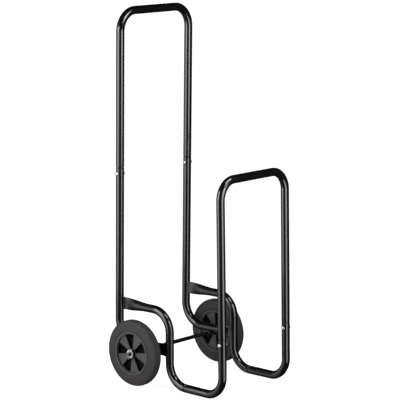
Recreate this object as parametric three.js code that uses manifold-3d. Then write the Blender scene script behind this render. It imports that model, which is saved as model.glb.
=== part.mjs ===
// Fireside log cart: bent steel tubes in a tall rear frame, a low front hoop and two
// cranked side tubes, standing on its two front bends and on a pair of wheels.
// Millimetres, +Z up, front hoop towards -Y, left is -X. "Reach" is a distance forward
// (towards -Y) from the foot line of the rear posts.
import * as THREE from "three";
import { mergeVertices } from "three/addons/utils/BufferGeometryUtils.js";
import Module from "manifold-3d";

// ---- Driving dimensions ----------------------------------------------------------

const FIT_GAP = 0.3; // left between touching pieces
const BORE_GAP = 0.35; // radial play of a round piece in a round bore
const CUT_THROUGH = 1; // how far a cut runs on past the face it opens

// Tube
const TUBE_OD = 25;
const TUBE_WALL = 1.2;
const TUBE_SIDES = 12;
const BEND_STEPS = 6; // sections in a quarter bend

// Frame
const REAR_SPAN = 296; // between the rear posts' centrelines
const SIDE_SET_IN = 4.5; // side tubes and front uprights, inboard of the rear posts
const HANDLE_HEIGHT = 1111; // centreline of the rear hoop's top
const FRONT_HEIGHT = 647; // centreline of the front hoop's top
const REAR_LEAN = 0.013; // rear posts lean forward, mm per mm of height
const FRONT_LEAN = 0.018; // front uprights lean back
const FRONT_REACH = 416;
const RISER_REACH = 205.7; // upright stretch of the side tubes
const RAIL_HEIGHT = 231.8; // upper stretch of the side tubes

// Bends, radius at the centreline
const HANDLE_BEND = 61;
const FRONT_BEND = 58;
const RAIL_BEND = 63.5;
const RISER_BEND = 64.7;
const FOOT_BEND = 59.7;
const POST_BEND = 68;

// Push joints with a through bolt
const REAR_SEAM_HEIGHT = 643.5;
const FRONT_SEAM_HEIGHT = 184.5;
const FOOT_SEAM_REACH = 274;
const SPIGOT_LENGTH = 36; // how deep the swaged end goes in
const SWAGE_NECK = 5; // over which the tube narrows to its spigot
const BOLT_DROP = 16.3; // bolt below the seam
const BOLT_DIAMETER = 6;
const BOLT_HEAD_DIAMETER = 12;
const BOLT_HEAD_HEIGHT = 3.6;
const BOLT_HEAD_RIM = 0.8; // straight edge below the head's dome
const BOLT_GRIP = 3.6; // how deep the bolt's end goes into its nut
const NUT_ACROSS_FLATS = 10;
const NUT_HEX_HEIGHT = 3.3;
const NUT_DOME_HEIGHT = 2.7;
const NUT_DOME_INSET = 0.4; // from a flat to the dome's edge
const DOME_STEPS = 3;

// Pressed tube ends, welded edge-on to the next tube
const PRESSED_SLIT = 0.6; // left between the two pressed walls
const PRESSED_LENGTH = 21; // flat all over
const PRESSED_TAPER = 82; // rail: from flat to round
const POST_TAPER = 52; // rear post's lower run: from flat to round
const WELD_LEG = 4.5; // fillet of weld round a pressed end
const WELD_TOE = 0.3; // how far the fillet's thin edge stands off the pressed end
const WELD_STEPS = 3;
const WELD_SIDES = 16;

// Axle and what it carries
const WHEEL_OD = 200;
const AXLE_REACH = 102;
const AXLE_DIAMETER = 12;
const AXLE_SADDLE = 2; // how far the axle is let into the posts' lower runs
const AXLE_WELD = 5; // fillet of weld between axle and post
const AXLE_CHAMFER = 1;
const SPACER_LENGTH = 6.9; // between each rear post and its inner washer
const WASHER_OD = 26;
const WASHER_THICKNESS = 2;
const SPACER_OD = 19;
const PIN_WIRE = 1.5; // split pin's half-round wire, taken as round
const PIN_LENGTH = 22; // split pin below its eye
const PIN_EYE = 3.4; // inner radius of the eye
const PIN_EYE_MOUTH = 64; // degrees of the eye left open where the legs leave it
const PIN_EYE_STEPS = 8;
const PIN_LEG_STEPS = 3;
const PIN_SWEEP_STEPS = 30; // sections along the whole pin
const PIN_SIDES = 6;
const PIN_SPREAD = 5.5; // how far each leg's tip is bent out
const PIN_TURN = 28; // degrees, the pin's lean from upright
const PIN_EDGE = 3; // axle left beyond the pin's hole

// Wheel
const TYRE_WIDTH = 31;
const TYRE_SHOULDER = 11.5;
const SHOULDER_STEPS = 2;
const TYRE_BORE = 132;
const TYRE_KEY_WIDTH = 12; // rib inside the tyre, held in the rim's groove
const TYRE_KEY_DEPTH = 3;
const TYRE_KEY_SLOPE = 1.5; // how far each flank of the rib leans in
const BEAD_RING_RADIUS = 73; // raised ring on each side of the tyre
const BEAD_RING_HEIGHT = 0.8;
const BEAD_RING_WIDTH = 5;
const TREAD_GROOVES = 3;
const TREAD_GROOVE_PITCH = 6;
const TREAD_GROOVE_WIDTH = 1.6;
const TREAD_GROOVE_DEPTH = 1.2;
const RIM_OPENING = 120; // the dish inside the rim's lip
const DISH_DEPTH = 6.5; // from the rim's edge down to the spokes
const RIM_LIP = 0.7; // rim's edge beyond the tyre's side
const DISH_SLOPE = 0.6; // how much wider the dish is at the rim's edge
const HUB_EDGE = 0.9; // chamfers on the moulding
const BOSS_OD = 26;
const BOSS_LENGTH = 37;
const SPOKES = 5;
const POCKET_OUTER_RADIUS = 58.5;
const POCKET_BOSS_WALL = 1.5; // from the boss out to the pockets
const POCKET_STEPS = 3; // sides along a pocket's arc
const POCKET_ANGLE = 35.5; // degrees, each pocket between two spokes
const WEB_THICKNESS = 3; // wall at the bottom of the pockets
const LEFT_WHEEL_TURN = 79.4; // degrees up from the rear to a pocket's middle
const RIGHT_WHEEL_TURN = 104.3;
const WHEEL_SIDES = 32;
const ROD_SIDES = 16; // axle, washers and bores on them

// ---- Derived sizes ---------------------------------------------------------------

const tubeRadius = TUBE_OD / 2;
const boreRadius = tubeRadius - TUBE_WALL;
const spigotRadius = boreRadius - FIT_GAP;
const rearX = REAR_SPAN / 2;
const frontX = rearX - SIDE_SET_IN;
const axleRadius = AXLE_DIAMETER / 2;
const axleHeight = WHEEL_OD / 2;
const postRunHeight = axleHeight + axleRadius + tubeRadius - AXLE_SADDLE;
const pressedHalf = TUBE_WALL + PRESSED_SLIT / 2; // half the pressed end's thickness
// Pressing keeps the tube's girth, so the flats grow by a quarter turn of what the radius lost.
const pressedFlat = (Math.PI / 2) * (tubeRadius - pressedHalf);
const slipRadius = axleRadius + BORE_GAP; // bores that turn or slide on the axle
const pinRadius = PIN_WIRE / 2;
const pinLegOffset = pinRadius + FIT_GAP / 2; // each leg's centreline from the pin's middle
const pinHoleRadius = pinLegOffset + pinRadius + FIT_GAP;
// Along the axle, from the rear post out; the axle's weld beads end a saddle's depth short.
const spacerInnerX = rearX + tubeRadius - AXLE_SADDLE + FIT_GAP;
const spacerOuterX = spacerInnerX + SPACER_LENGTH;
const washerInnerX = spacerOuterX + FIT_GAP;
const bossInnerX = washerInnerX + WASHER_THICKNESS + FIT_GAP;
const wheelX = bossInnerX + BOSS_LENGTH / 2;
const bossOuterX = bossInnerX + BOSS_LENGTH;
const washerOuterX = bossOuterX + FIT_GAP;
const pinX = washerOuterX + WASHER_THICKNESS + FIT_GAP + PIN_WIRE;
const axleEndX = pinX + PIN_WIRE + PIN_EDGE;

const rearY = (height) => -REAR_LEAN * height;
const frontY = (height) => -FRONT_REACH + FRONT_LEAN * height;

// ---- Finishes --------------------------------------------------------------------

const finish = (color, roughness, metalness) =>
  new THREE.MeshStandardMaterial({ color, roughness, metalness });
const POWDER_COAT = finish(0x0c0c0e, 0.28, 0.1);
const ZINC_PLATE = finish(0xc9ccd0, 0.3, 1);
const TYRE_RUBBER = finish(0x454143, 0.75, 0);
const HUB_PLASTIC = finish(0x525154, 0.55, 0);

// ---- Solids ----------------------------------------------------------------------

const wasm = await Module();
wasm.setup();

/** A closed geometry as a manifold solid. */
function toSolid(geometry) {
  const bare = geometry.clone();
  bare.deleteAttribute("normal");
  bare.deleteAttribute("uv");
  const merged = mergeVertices(bare, 1e-4);
  return new wasm.Manifold(
    new wasm.Mesh({
      numProp: 3,
      vertProperties: merged.attributes.position.array,
      triVerts: new Uint32Array(merged.index.array),
    }),
  );
}

/** A manifold solid as a geometry. */
function toGeometry(solid) {
  const { vertProperties, triVerts } = solid.getMesh();
  const geometry = new THREE.BufferGeometry();
  geometry.setAttribute("position", new THREE.BufferAttribute(vertProperties, 3));
  geometry.setIndex(new THREE.BufferAttribute(triVerts, 1));
  geometry.computeVertexNormals();
  return geometry;
}

/** The base with the added geometries joined on and then the cutters taken out. */
function combine(base, added, cutters) {
  let solid = toSolid(base);
  for (const piece of added) solid = solid.add(toSolid(piece));
  for (const piece of cutters) solid = solid.subtract(toSolid(piece));
  return toGeometry(solid);
}

/** A cylinder along X, from x0 to x1, on a line through (y, z). */
function rodAlongX(radius, x0, x1, y, z, sides = ROD_SIDES) {
  const geometry = new THREE.CylinderGeometry(radius, radius, x1 - x0, sides);
  return geometry.rotateZ(Math.PI / 2).translate((x0 + x1) / 2, y, z);
}

/** A solid turned about X; the profile's [radius, x] points run from -X to +X on its outside. */
function turnedAboutX(profile, sides) {
  const points = profile.map(([radius, x]) => new THREE.Vector2(radius, x));
  return new THREE.LatheGeometry(points, sides).rotateZ(-Math.PI / 2);
}

/** Profile points of a dome on the plane at x, out towards +X, or towards -X if height < 0. */
function domeProfile(radius, x, height) {
  return Array.from({ length: DOME_STEPS + 1 }, (_, i) => {
    const angle = ((Math.PI / 2) * i) / DOME_STEPS;
    return i === DOME_STEPS
      ? [0, x + height]
      : [radius * Math.cos(angle), x + height * Math.sin(angle)];
  });
}

// ---- Bent tube -------------------------------------------------------------------

/** A tube's centreline, given as stations at which it has a section. */
class TubeRun extends THREE.Curve {
  constructor(stations) {
    super();
    this.stations = stations;
  }
  at(t) {
    return this.stations[Math.round(t * (this.stations.length - 1))];
  }
  getPoint(t, target = new THREE.Vector3()) {
    return target.copy(this.at(t).point);
  }
  getPointAt(u, target) {
    return this.getPoint(u, target);
  }
  getTangent(t, target = new THREE.Vector3()) {
    return target.copy(this.at(t).tangent);
  }
  getTangentAt(u, target) {
    return this.getTangent(u, target);
  }
}

/** Stations round one bend at `corner`, from the leg before to the leg after. */
function bendStations(before, corner, after, radius) {
  const into = corner.clone().sub(before).normalize();
  const out = after.clone().sub(corner).normalize();
  const turn = into.angleTo(out);
  const start = corner.clone().addScaledVector(into, -radius * Math.tan(turn / 2));
  const across = new THREE.Vector3().crossVectors(into, out).normalize();
  const inward = new THREE.Vector3().crossVectors(across, into);
  const centre = start.clone().addScaledVector(inward, radius);
  const steps = Math.max(3, Math.round((BEND_STEPS * turn) / (Math.PI / 2)));
  return Array.from({ length: steps + 1 }, (_, i) => {
    const spin = new THREE.Quaternion().setFromAxisAngle(across, (turn * i) / steps);
    return {
      point: start.clone().sub(centre).applyQuaternion(spin).add(centre),
      tangent: into.clone().applyQuaternion(spin),
    };
  });
}

/** A run through corner points; startCuts and endCuts add sections that far from an end. */
function tubeRun(corners, radii, startCuts = [], endCuts = []) {
  const last = corners.length - 1;
  const first = corners[1].clone().sub(corners[0]).normalize();
  const final = corners[last].clone().sub(corners[last - 1]).normalize();
  const along = (origin, tangent, distance) => ({
    point: origin.clone().addScaledVector(tangent, distance),
    tangent,
  });
  const stations = [0, ...startCuts].map((d) => along(corners[0], first, d));
  for (let i = 1; i < last; i++)
    stations.push(...bendStations(corners[i - 1], corners[i], corners[i + 1], radii[i - 1]));
  stations.push(...[...endCuts].reverse().map((d) => along(corners[last], final, -d)));
  stations.push(along(corners[last], final, 0));
  return new TubeRun(stations);
}

/** The points of a tube's section, one of them on each axis. */
function sectionPoints(radius) {
  return Array.from({ length: TUBE_SIDES }, (_, i) => {
    const angle = (2 * Math.PI * i) / TUBE_SIDES;
    return new THREE.Vector2(radius * Math.cos(angle), radius * Math.sin(angle));
  });
}

/** The hollow tube along a run. */
function hollowTube(run) {
  const section = new THREE.Shape(sectionPoints(tubeRadius));
  section.holes.push(new THREE.Path(sectionPoints(boreRadius)));
  return new THREE.ExtrudeGeometry(section, {
    steps: run.stations.length - 1,
    extrudePath: run,
  });
}

/**
 * Reshapes a tube's straight end. `form` takes the distance from the end and gives the
 * loss of radius and the half length of the flats; the flats stand upright in the
 * tube's own plane, square to X.
 */
function formEnd(geometry, run, atStart, length, form) {
  const { point, tangent } = run.at(atStart ? 0 : 1);
  const inward = tangent.clone().multiplyScalar(atStart ? 1 : -1);
  const upright = new THREE.Vector3(1, 0, 0).cross(inward).normalize();
  const position = geometry.getAttribute("position");
  const vertex = new THREE.Vector3();
  const near = 1e-3;
  for (let i = 0; i < position.count; i++) {
    vertex.fromBufferAttribute(position, i);
    const offset = vertex.clone().sub(point);
    const distance = offset.dot(inward);
    const side = offset.x - inward.x * distance;
    const rise = offset.dot(upright);
    const radius = Math.hypot(side, rise);
    if (distance < -near || distance > length + near || radius > tubeRadius + near) continue;
    const { loss, flat } = form(Math.max(0, distance));
    const shrink = (radius - loss) / radius;
    const shift = Math.abs(rise) < near ? 0 : Math.sign(rise) * flat;
    vertex.x += side * (shrink - 1);
    vertex.addScaledVector(upright, rise * (shrink - 1) + shift);
    position.setXYZ(i, vertex.x, vertex.y, vertex.z);
  }
  geometry.computeVertexNormals();
}

const spigotCuts = [SPIGOT_LENGTH, SPIGOT_LENGTH + SWAGE_NECK];

/** Swages a tube's end down to a spigot that slides into the next tube. */
function formSpigot(geometry, run, atStart) {
  formEnd(geometry, run, atStart, SPIGOT_LENGTH, () => ({
    loss: tubeRadius - spigotRadius,
    flat: 0,
  }));
}

/** Where a pressed end has its sections: more of them where it changes fast. */
const pressCuts = (taper) =>
  [0, 0.25, 0.5, 0.75, 1].map((share) => PRESSED_LENGTH + share * taper);

/** Presses a tube's end flat over PRESSED_LENGTH, easing to round over `taper`. */
function formPressed(geometry, run, atStart, taper) {
  formEnd(geometry, run, atStart, PRESSED_LENGTH + taper, (distance) => {
    const flatness = 1 - THREE.MathUtils.smoothstep(distance, PRESSED_LENGTH, PRESSED_LENGTH + taper);
    return { loss: flatness * (tubeRadius - pressedHalf), flat: flatness * pressedFlat };
  });
}

/** A point on the outline of a pressed end grown by `grow`, at an angle from +X. */
function pressedOutline(angle, grow) {
  const rise = Math.sin(angle);
  const flat = Math.abs(rise) < 1e-6 ? 0 : Math.sign(rise) * pressedFlat;
  const radius = pressedHalf + grow;
  return new THREE.Vector2(radius * Math.cos(angle), radius * rise + flat);
}

/** A hollow fillet of weld round a pressed end: `y` is that end's face, `toY` points away. */
function pressedWeld(x, y, z, toY) {
  const fillet = Array.from({ length: WELD_STEPS + 1 }, (_, i) => {
    const angle = ((Math.PI / 2) * i) / WELD_STEPS;
    return [WELD_LEG * (1 - Math.cos(angle)), WELD_TOE + WELD_LEG * (1 - Math.sin(angle))];
  });
  const layers = [[-tubeRadius / 2, fillet[0][1]], ...fillet]; // the first lies in the other tube
  const angles = Array.from({ length: WELD_SIDES }, (_, i) => (2 * Math.PI * i) / WELD_SIDES);
  const outline = new THREE.Shape(angles.map((angle) => pressedOutline(angle, 0)));
  const geometry = new THREE.ExtrudeGeometry(outline, {
    steps: layers.length - 1,
    depth: layers.length - 1,
    bevelEnabled: false,
  });
  const position = geometry.getAttribute("position");
  for (let i = 0; i < position.count; i++) {
    const [reach, grow] = layers[Math.round(position.getZ(i))];
    const rise = position.getY(i);
    const flat = Math.abs(rise) < 1e-6 ? 0 : Math.sign(rise) * pressedFlat;
    const angle = Math.atan2(rise - flat, position.getX(i));
    const { x: across, y: up } = pressedOutline(angle, grow);
    position.setXYZ(i, across, up, reach);
  }
  geometry.rotateX(toY < 0 ? Math.PI / 2 : -Math.PI / 2);
  return geometry.translate(x, y, z);
}

/** A cutter a little larger than a tube, between two points on its centreline. */
function tubeCutter(from, to) {
  const length = from.distanceTo(to);
  const geometry = new THREE.CylinderGeometry(
    tubeRadius + FIT_GAP,
    tubeRadius + FIT_GAP,
    length,
    2 * TUBE_SIDES,
  );
  const spin = new THREE.Quaternion().setFromUnitVectors(
    new THREE.Vector3(0, 1, 0),
    to.clone().sub(from).normalize(),
  );
  const middle = from.clone().add(to).multiplyScalar(0.5);
  return geometry.applyQuaternion(spin).translate(middle.x, middle.y, middle.z);
}

/** The hole for a joint bolt through a tube at x. */
function boltHole(x, y, z) {
  const reach = tubeRadius + FIT_GAP;
  return rodAlongX(BOLT_DIAMETER / 2 + FIT_GAP, x - reach, x + reach, y, z, TUBE_SIDES);
}

// ---- Frame pieces ----------------------------------------------------------------

/** A hoop standing on two spigots: handle or front hoop. */
function hoop(halfSpan, top, seam, bend, yAt) {
  const foot = seam - SPIGOT_LENGTH + FIT_GAP;
  const at = (x, z) => new THREE.Vector3(x, yAt(z), z);
  const corners = [at(-halfSpan, foot), at(-halfSpan, top), at(halfSpan, top), at(halfSpan, foot)];
  const run = tubeRun(corners, [bend, bend], spigotCuts, spigotCuts);
  const tube = hollowTube(run);
  formSpigot(tube, run, true);
  formSpigot(tube, run, false);
  const boltZ = seam - BOLT_DROP;
  return combine(tube, [], [-halfSpan, halfSpan].map((x) => boltHole(x, yAt(boltZ), boltZ)));
}

/** A rear post with its bend and its lower run, pressed and welded to the side tube's riser. */
function rearPost(side) {
  const x = side * rearX;
  const endY = -RISER_REACH + tubeRadius + FIT_GAP;
  const corners = [
    new THREE.Vector3(x, rearY(REAR_SEAM_HEIGHT), REAR_SEAM_HEIGHT),
    new THREE.Vector3(x, rearY(postRunHeight), postRunHeight),
    new THREE.Vector3(x, endY, postRunHeight),
  ];
  const run = tubeRun(corners, [POST_BEND], [], pressCuts(POST_TAPER));
  const tube = hollowTube(run);
  formPressed(tube, run, false, POST_TAPER);
  const weld = pressedWeld(x, endY, postRunHeight, 1);
  const beads = [-1, 1].map((end) =>
    axleWeld(x + end * (tubeRadius - AXLE_SADDLE - AXLE_WELD / 2)),
  );
  const boltZ = REAR_SEAM_HEIGHT - BOLT_DROP;
  return combine(tube, [weld, ...beads], [
    tubeCutter(
      new THREE.Vector3(side * frontX, -RISER_REACH, axleHeight - TUBE_OD),
      new THREE.Vector3(side * frontX, -RISER_REACH, postRunHeight + 2 * TUBE_OD),
    ),
    rodAlongX(axleRadius + FIT_GAP, x - 2 * TUBE_OD, x + 2 * TUBE_OD, -AXLE_REACH, axleHeight),
    boltHole(x, rearY(boltZ), boltZ),
  ]);
}

/** A bead of weld over the axle, against the post's lower run. */
function axleWeld(x) {
  const radius = axleRadius + AXLE_WELD / 2;
  return rodAlongX(radius, x - AXLE_WELD / 2, x + AXLE_WELD / 2, -AXLE_REACH, axleHeight);
}

/** A side tube: pressed end on the rear post, rail, riser, and a spigot into the front foot. */
function sideTube(side) {
  const x = side * frontX;
  const startY = rearY(RAIL_HEIGHT) - tubeRadius - FIT_GAP;
  const endY = -FOOT_SEAM_REACH - SPIGOT_LENGTH + FIT_GAP;
  const corners = [
    new THREE.Vector3(x, startY, RAIL_HEIGHT),
    new THREE.Vector3(x, -RISER_REACH, RAIL_HEIGHT),
    new THREE.Vector3(x, -RISER_REACH, tubeRadius),
    new THREE.Vector3(x, endY, tubeRadius),
  ];
  const run = tubeRun(corners, [RAIL_BEND, RISER_BEND], pressCuts(PRESSED_TAPER), spigotCuts);
  const tube = hollowTube(run);
  formPressed(tube, run, true, PRESSED_TAPER);
  formSpigot(tube, run, false);
  const weld = pressedWeld(x, startY, RAIL_HEIGHT, -1);
  const cutterFrom = RAIL_HEIGHT - 2 * TUBE_OD;
  const cutterTo = RAIL_HEIGHT + 2 * TUBE_OD;
  return combine(tube, [weld], [
    tubeCutter(
      new THREE.Vector3(side * rearX, rearY(cutterFrom), cutterFrom),
      new THREE.Vector3(side * rearX, rearY(cutterTo), cutterTo),
    ),
  ]);
}

/** A front foot: from its mouth on the floor round the bend and up to its socket. */
function frontFoot(side) {
  const x = side * frontX;
  const corners = [
    new THREE.Vector3(x, -FOOT_SEAM_REACH, tubeRadius),
    new THREE.Vector3(x, frontY(tubeRadius), tubeRadius),
    new THREE.Vector3(x, frontY(FRONT_SEAM_HEIGHT), FRONT_SEAM_HEIGHT),
  ];
  const boltZ = FRONT_SEAM_HEIGHT - BOLT_DROP;
  const tube = hollowTube(tubeRun(corners, [FOOT_BEND]));
  return combine(tube, [], [boltHole(x, frontY(boltZ), boltZ)]);
}

// ---- Fasteners -------------------------------------------------------------------

/** A domed joint bolt, head towards -X. */
function jointBolt(x, y, z) {
  const shankRadius = BOLT_DIAMETER / 2;
  const seat = -tubeRadius - FIT_GAP;
  const end = tubeRadius + FIT_GAP + BOLT_GRIP;
  const dome = domeProfile(
    BOLT_HEAD_DIAMETER / 2,
    seat - BOLT_HEAD_RIM,
    BOLT_HEAD_RIM - BOLT_HEAD_HEIGHT,
  );
  const profile = [
    ...dome.reverse(),
    [BOLT_HEAD_DIAMETER / 2, seat],
    [shankRadius, seat],
    [shankRadius, end],
    [0, end],
  ];
  return turnedAboutX(profile, TUBE_SIDES).translate(x, y, z);
}

/** A domed hexagon nut on a joint bolt's far end. */
function capNut(x, y, z) {
  const seat = tubeRadius + FIT_GAP;
  const hexEnd = seat + NUT_HEX_HEIGHT;
  const cornerRadius = NUT_ACROSS_FLATS / 2 / Math.cos(Math.PI / 6);
  const domeRadius = NUT_ACROSS_FLATS / 2 - NUT_DOME_INSET;
  const hexagon = rodAlongX(cornerRadius, seat, hexEnd, 0, 0, 6);
  const dome = turnedAboutX(
    [[0, seat], [domeRadius, seat], ...domeProfile(domeRadius, hexEnd, NUT_DOME_HEIGHT)],
    TUBE_SIDES,
  );
  const boreEnd = seat + BOLT_GRIP + FIT_GAP;
  const bore = rodAlongX(BOLT_DIAMETER / 2 + FIT_GAP, seat - CUT_THROUGH, boreEnd, 0, 0, TUBE_SIDES);
  return combine(hexagon, [dome], [bore]).translate(x, y, z);
}

/** One leg of a split pin as [y, z] points, from its spread tip up to the eye. */
function pinLeg(sign) {
  const below = -axleRadius - FIT_GAP - PIN_WIRE;
  const tip = axleRadius + FIT_GAP - PIN_LENGTH;
  const points = [];
  for (let i = PIN_LEG_STEPS; i >= 0; i--) {
    const share = i / PIN_LEG_STEPS;
    points.push([sign * (pinLegOffset + PIN_SPREAD * share * share), below + (tip - below) * share]);
  }
  points.push([sign * pinLegOffset, 0], [sign * pinLegOffset, axleRadius + FIT_GAP]);
  return points;
}

/** A split pin through the axle's end, in a plane square to it: eye above, legs spread below. */
function splitPin(side) {
  const eyeRadius = PIN_EYE + pinRadius;
  const eyeZ = axleRadius + FIT_GAP + PIN_WIRE / 2 + eyeRadius;
  const eye = Array.from({ length: PIN_EYE_STEPS + 1 }, (_, i) => {
    const turned = PIN_EYE_MOUTH / 2 + ((360 - PIN_EYE_MOUTH) * i) / PIN_EYE_STEPS;
    const angle = THREE.MathUtils.degToRad(-90 - turned);
    return [eyeRadius * Math.cos(angle), eyeZ + eyeRadius * Math.sin(angle)];
  });
  const points = [...pinLeg(-1), ...eye, ...pinLeg(1).reverse()];
  const path = new THREE.CatmullRomCurve3(points.map(([y, z]) => new THREE.Vector3(0, y, z)));
  const section = new THREE.Shape(
    Array.from({ length: PIN_SIDES }, (_, i) => {
      const angle = (2 * Math.PI * i) / PIN_SIDES;
      return new THREE.Vector2(pinRadius * Math.cos(angle), pinRadius * Math.sin(angle));
    }),
  );
  const geometry = new THREE.ExtrudeGeometry(section, { steps: PIN_SWEEP_STEPS, extrudePath: path });
  geometry.rotateX(THREE.MathUtils.degToRad(PIN_TURN));
  return geometry.translate(side * pinX, -AXLE_REACH, axleHeight);
}

/** The axle, chamfered, with a cross hole for each split pin. */
function axle() {
  const profile = [
    [0, -axleEndX],
    [axleRadius - AXLE_CHAMFER, -axleEndX],
    [axleRadius, -axleEndX + AXLE_CHAMFER],
    [axleRadius, axleEndX - AXLE_CHAMFER],
    [axleRadius - AXLE_CHAMFER, axleEndX],
    [0, axleEndX],
  ];
  const holes = [-1, 1].map((side) =>
    new THREE.CylinderGeometry(pinHoleRadius, pinHoleRadius, 2 * AXLE_DIAMETER, TUBE_SIDES)
      .rotateX(Math.PI / 2 + THREE.MathUtils.degToRad(PIN_TURN))
      .translate(side * pinX, 0, 0),
  );
  return combine(turnedAboutX(profile, ROD_SIDES), [], holes).translate(0, -AXLE_REACH, axleHeight);
}

/** A flat ring on the axle between two distances out from the cart's middle. */
function axleRing(side, outerRadius, nearX, farX) {
  const [x0, x1] = side < 0 ? [-farX, -nearX] : [nearX, farX];
  const profile = [
    [slipRadius, x0],
    [outerRadius, x0],
    [outerRadius, x1],
    [slipRadius, x1],
    [slipRadius, x0],
  ];
  return turnedAboutX(profile, ROD_SIDES).translate(0, -AXLE_REACH, axleHeight);
}

// ---- Wheel, about the X axis, outer side towards +X ------------------------------

/** The solid rubber tyre: rounded shoulders, a raised ring each side, tread grooves. */
function tyre() {
  const half = TYRE_WIDTH / 2;
  const radius = WHEEL_OD / 2;
  const bore = TYRE_BORE / 2;
  const key = TYRE_KEY_WIDTH / 2;
  // One side's outside, from the bore out to the tread; `sign` is that side.
  const flank = (sign) => [
    [bore, sign * half],
    [BEAD_RING_RADIUS - BEAD_RING_WIDTH / 2, sign * half],
    [BEAD_RING_RADIUS, sign * (half + BEAD_RING_HEIGHT)],
    [BEAD_RING_RADIUS + BEAD_RING_WIDTH / 2, sign * half],
    ...Array.from({ length: SHOULDER_STEPS + 1 }, (_, i) => {
      const angle = ((Math.PI / 2) * i) / SHOULDER_STEPS;
      return [
        radius - TYRE_SHOULDER * (1 - Math.sin(angle)),
        sign * (half - TYRE_SHOULDER * (1 - Math.cos(angle))),
      ];
    }),
  ];
  const tread = [];
  for (let i = 0; i < TREAD_GROOVES; i++) {
    const middle = (i - (TREAD_GROOVES - 1) / 2) * TREAD_GROOVE_PITCH;
    tread.push(
      [radius, middle - TREAD_GROOVE_WIDTH / 2],
      [radius - TREAD_GROOVE_DEPTH, middle],
      [radius, middle + TREAD_GROOVE_WIDTH / 2],
    );
  }
  // A shoulder that reaches past the outermost groove ends at that groove.
  const beyond = tread.length ? tread[tread.length - 1][1] : 0;
  const kept = (points) => points.filter(([r, x]) => r < radius || Math.abs(x) > beyond);
  const inside = [
    [bore, key],
    [bore - TYRE_KEY_DEPTH, key - TYRE_KEY_SLOPE],
    [bore - TYRE_KEY_DEPTH, TYRE_KEY_SLOPE - key],
    [bore, -key],
  ];
  const profile = [...kept(flank(-1)), ...tread, ...kept(flank(1)).reverse(), ...inside];
  return turnedAboutX([...profile, profile[0]], WHEEL_SIDES);
}

/** The wheel's moulded centre: boss, spokes with pockets between, rim. */
function hub(turn) {
  const rimRadius = TYRE_BORE / 2 - FIT_GAP;
  const opening = RIM_OPENING / 2;
  const edge = TYRE_WIDTH / 2 + RIM_LIP;
  const face = TYRE_WIDTH / 2 - DISH_DEPTH;
  const boss = BOSS_OD / 2;
  const end = BOSS_LENGTH / 2;
  const key = TYRE_KEY_WIDTH / 2 + FIT_GAP;
  const half = [
    [rimRadius - TYRE_KEY_DEPTH, key - TYRE_KEY_SLOPE],
    [rimRadius, key],
    [rimRadius, edge - HUB_EDGE],
    [rimRadius - HUB_EDGE, edge],
    [opening + DISH_SLOPE, edge],
    [opening, face + HUB_EDGE],
    [opening - HUB_EDGE, face],
    [boss, face],
    [boss, end - HUB_EDGE],
    [boss - HUB_EDGE, end],
    [slipRadius, end],
  ];
  const mirrored = half.map(([radius, x]) => [radius, -x]).reverse();
  const body = turnedAboutX([...mirrored, ...half, mirrored[0]], WHEEL_SIDES);
  const pockets = [];
  for (let i = 0; i < SPOKES; i++)
    for (const sign of [-1, 1]) pockets.push(pocket(turn + (i * 360) / SPOKES, sign, face));
  return combine(body, [], pockets);
}

/** The cutter of one pocket, its middle at `degrees` from +Y towards +Z. */
function pocket(degrees, sign, face) {
  const half = THREE.MathUtils.degToRad(POCKET_ANGLE / 2);
  const inner = BOSS_OD / 2 + POCKET_BOSS_WALL;
  const outline = new THREE.Shape();
  outline.absarc(0, 0, POCKET_OUTER_RADIUS, -half, half, false);
  outline.lineTo(inner * Math.cos(half), inner * Math.sin(half));
  outline.lineTo(inner * Math.cos(half), -inner * Math.sin(half));
  const depth = face - WEB_THICKNESS / 2 + CUT_THROUGH;
  const geometry = new THREE.ExtrudeGeometry(outline, {
    depth,
    bevelEnabled: false,
    curveSegments: POCKET_STEPS,
  });
  const start = sign > 0 ? WEB_THICKNESS / 2 : -WEB_THICKNESS / 2 - depth;
  // The outline's x and y become the wheel's +Y and +Z, and its depth becomes +X.
  const basis = new THREE.Matrix4().makeBasis(
    new THREE.Vector3(0, 1, 0),
    new THREE.Vector3(0, 0, 1),
    new THREE.Vector3(1, 0, 0),
  );
  return geometry
    .translate(0, 0, start)
    .applyMatrix4(basis)
    .rotateX(THREE.MathUtils.degToRad(degrees));
}

// ---- Assembly --------------------------------------------------------------------

const cart = new THREE.Group();

/** Adds a named mesh to a group. */
function add(parent, name, geometry, material) {
  const mesh = new THREE.Mesh(geometry, material);
  mesh.name = name;
  parent.add(mesh);
  return mesh;
}

add(cart, "handle_hoop", hoop(rearX, HANDLE_HEIGHT, REAR_SEAM_HEIGHT, HANDLE_BEND, rearY), POWDER_COAT);
add(cart, "front_hoop", hoop(frontX, FRONT_HEIGHT, FRONT_SEAM_HEIGHT, FRONT_BEND, frontY), POWDER_COAT);
add(cart, "axle_rod", axle(), POWDER_COAT);

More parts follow.
